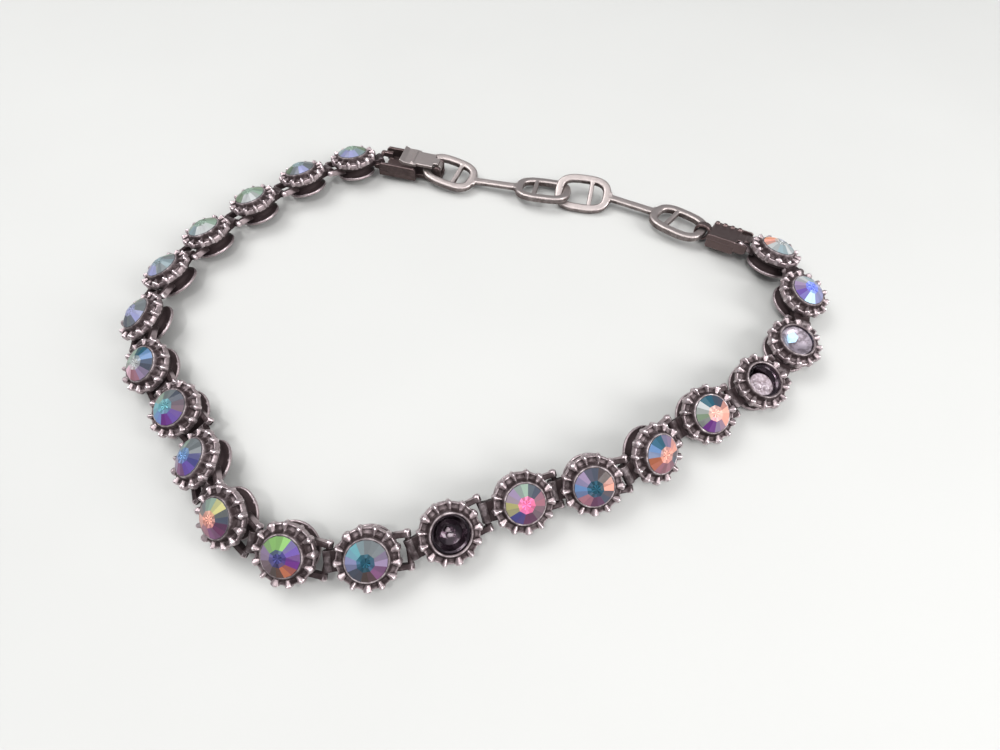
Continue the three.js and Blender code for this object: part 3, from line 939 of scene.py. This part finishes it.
def end_loop_mesh():
    """The end piece: a block in two halves, hood cheeks, knobs, and a small loop for the last ring."""
    floor, seam, top = -1.4, -0.35, 0.45
    lower = [(1.15, floor + 0.12), (1.28, floor), (4.75, floor)]
    lower += [(4.88, floor + 0.12), (4.88, seam - 0.08), (1.15, seam - 0.08)]
    upper = [(1.06, seam + 0.06), (4.9, seam + 0.06), (4.9, top - 0.16)]
    upper += [(4.74, top), (1.22, top), (1.06, top - 0.16)]
    tongue = [(1.6, 0.4), (0.4, 0.36), (0.4, -0.36), (1.6, -0.4)]
    loop = swept_ring("loop", oval_path(1.8, 1.8, 2.4, 24), rounded_section(0.38, 1.2, 0.15))
    loop.transform(Matrix.Translation((5.9, 0, -0.4)) @ Matrix.Rotation(math.pi / 2, 4, "X"))
    parts = [
        side_plate("lower_half", lower, 4.0), side_plate("upper_half", upper, 4.2),
        block("seam", 1.2, 4.8, 3.8, seam - 0.1, seam + 0.08), side_plate("tongue", tongue, 2.0),
        side_plate("barrel", arc(0, 0, 0.5, 0, 340, 16), 2.0), loop,
    ]
    hood = [(-0.34, -0.6), (-0.34, 0.3), (-0.1, 0.42), (1.3, 0.42), (1.3, -0.9), (0.1, -0.9)]
    parts += [side_plate("hood", hood, 0.22, side * 2.06) for side in (-1, 1)]
    for knob in range(4):
        profile = [(0, -0.3), (0.34, -0.3), (0.36, 0.0), (0.3, 0.16), (0.16, 0.25), (0, 0.28)]
        dome = turned("knob", profile, 16)
        dome.transform(Matrix.Translation((1.5 + knob, -1.7, top)))
        parts.append(dome)
    end = cast_as_one("end_loop", parts, grain=0.07, faces=12000)
    measure_surface(end)
    return end


# ---- Making ----

places = setting_places()
casting = casting_mesh()
for number, (setting, place) in enumerate(zip(SETTINGS, places), start=1):
    finish_piece(f"casting_{number:02d}", casting, place, SILVER, [f"setting_{number:02d}"])
    if setting.facets:
        stone = stone_mesh(setting, place, number)
        finish_piece(f"crystal_{number:02d}", stone, place, CRYSTAL, [f"stone_{number:02d}"])

clasp_place = lie(places[0] @ Vector((-HINGE_REACH, 0, -HINGE_DEPTH)), *CLASP_LIE)
finish_piece("clasp_case", clasp_base_mesh(), clasp_place, DULL_SILVER, ["clasp_base"])
finish_piece("clasp_flap", clasp_lever_mesh(), clasp_place, LINK_SILVER, ["clasp_lever"], body="lever")
for number, (first, second) in enumerate((RINGS[:2], RINGS[2:]), start=1):
    link = link_mesh(first, second)
    finish_piece(f"link_{number}", link, Matrix(), LINK_SILVER, [f"extender_link_{number}"])
end_place = lie(places[-1] @ Vector((HINGE_REACH, 0, -HINGE_DEPTH)), *END_LIE)
finish_piece("end_piece", end_loop_mesh(), end_place, DULL_SILVER, ["end_loop"])

finish_piece("glue_drops_13", glue_mesh(9, 4, 0.45), places[12], GLUE, [])
finish_piece("glue_bed_18", glue_bed_mesh(), places[17], GLUE, [])
finish_piece("foil_19", foil_mesh(), places[18], FOIL, [])
finish_piece("chip_19", chip_mesh(places[18]), places[18], CRYSTAL, [])


# ---- Studio ----

def soft_light(name, place, target, size, power, colour=(1, 1, 1)):
    light = bpy.data.lights.new(name, "AREA")
    light.shape = "RECTANGLE"
    light.size, light.size_y = size
    light.energy = power
    light.color = colour
    lamp = bpy.data.objects.new(name, light)
    lamp.location = place
    lamp.rotation_mode = "QUATERNION"
    lamp.rotation_quaternion = (Vector(place) - Vector(target)).to_track_quat("Z", "Y")
    bpy.context.scene.collection.objects.link(lamp)


def studio():
    """A pale floor under soft lights."""
    corners = [(-1.5, -1.5, 0), (1.5, -1.5, 0), (1.5, 1.5, 0), (-1.5, 1.5, 0)]
    floor_mesh = mesh_from("floor", corners, [(0, 1, 2, 3)])
    floor = object_from(floor_mesh)
    finish = Finish("pale_floor")
    cloud = finish.speckle(60)
    colour = finish.blend(cloud, rgba(0.72, 0.72, 0.71), rgba(0.75, 0.75, 0.74))
    floor_mesh.materials.append(finish.surface(base_color=colour, roughness=0.75))
    world = bpy.data.worlds.new("studio")
    world.use_nodes = True
    background = world.node_tree.nodes["Background"]
    background.inputs["Color"].default_value = (0.78, 0.80, 0.84, 1)
    background.inputs["Strength"].default_value = 0.4
    bpy.context.scene.world = world
    soft_light("ceiling", (0, 0, 1.1), (0, 0, 0), (1.8, 1.8), 7)
    soft_light("window", (-0.16, 0.10, 0.28), (0, 0, 0), (0.22, 0.16), 0.7)
    soft_light("front_fill", (0.10, -0.26, 0.22), (0, -0.02, 0), (0.12, 0.12), 0.25, (1.0, 0.97, 0.98))
    soft_light("right_strip", (0.26, -0.10, 0.17), (0, 0, 0), (0.12, 0.2), 0.8)
    soft_light("sparkle", (-0.06, -0.14, 0.34), (0, 0, 0), (0.03, 0.03), 0.3)


def camera():
    seen = bpy.data.cameras.new("camera")
    seen.sensor_width = SENSOR_WIDTH
    seen.lens = LENS
    seen.clip_start = 0.002
    seen.clip_end = 10
    eye = bpy.data.objects.new("camera", seen)
    tip = Matrix.Rotation(math.radians(90 - EYE_DOWN), 4, "X")
    look = tip @ Matrix.Rotation(math.radians(EYE_ROLL), 4, "Z")
    eye.matrix_world = Matrix.Translation((SHIFT + Vector((0, 0, EYE_HEIGHT))) * MM) @ look
    bpy.context.scene.collection.objects.link(eye)
    bpy.context.scene.camera = eye


studio()
camera()
bpy.context.scene.view_settings.view_transform = "Standard"
